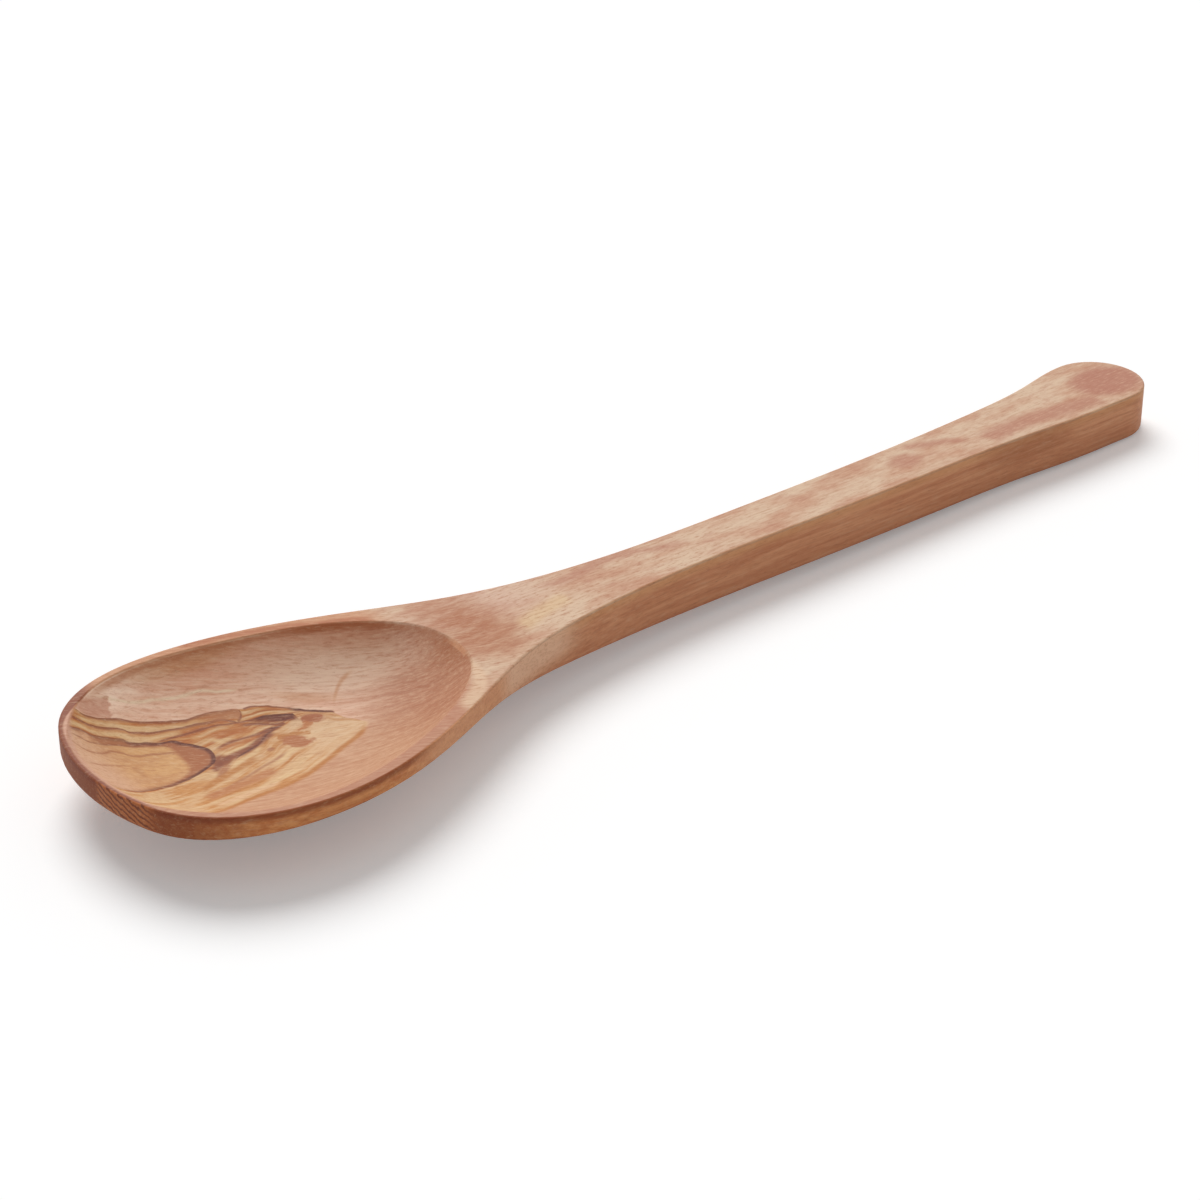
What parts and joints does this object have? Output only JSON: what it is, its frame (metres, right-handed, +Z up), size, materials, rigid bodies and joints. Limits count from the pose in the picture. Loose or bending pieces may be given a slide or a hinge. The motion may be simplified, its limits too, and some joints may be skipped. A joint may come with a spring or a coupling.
{
  "type": "wooden spoon",
  "caption": "Long-handled wooden cooking spoon with a shallow oval bowl, thin rim and flat-topped handle that widens at its rounded end.",
  "frame": {"origin": "on the table under the middle of the spoon's box, with the spoon lying on its belly and the end of its handle", "axes": "+X from the bowl's tip to the end of the handle, +Z up out of the bowl, +Y across to the left of that"},
  "size_m": [0.3, 0.0702, 0.0167],
  "materials": {
    "olive_wood": "sanded and oiled, satin"
  },
  "bodies": {
    "root": {"spoon": "olive_wood"}
  },
  "joints": []
}
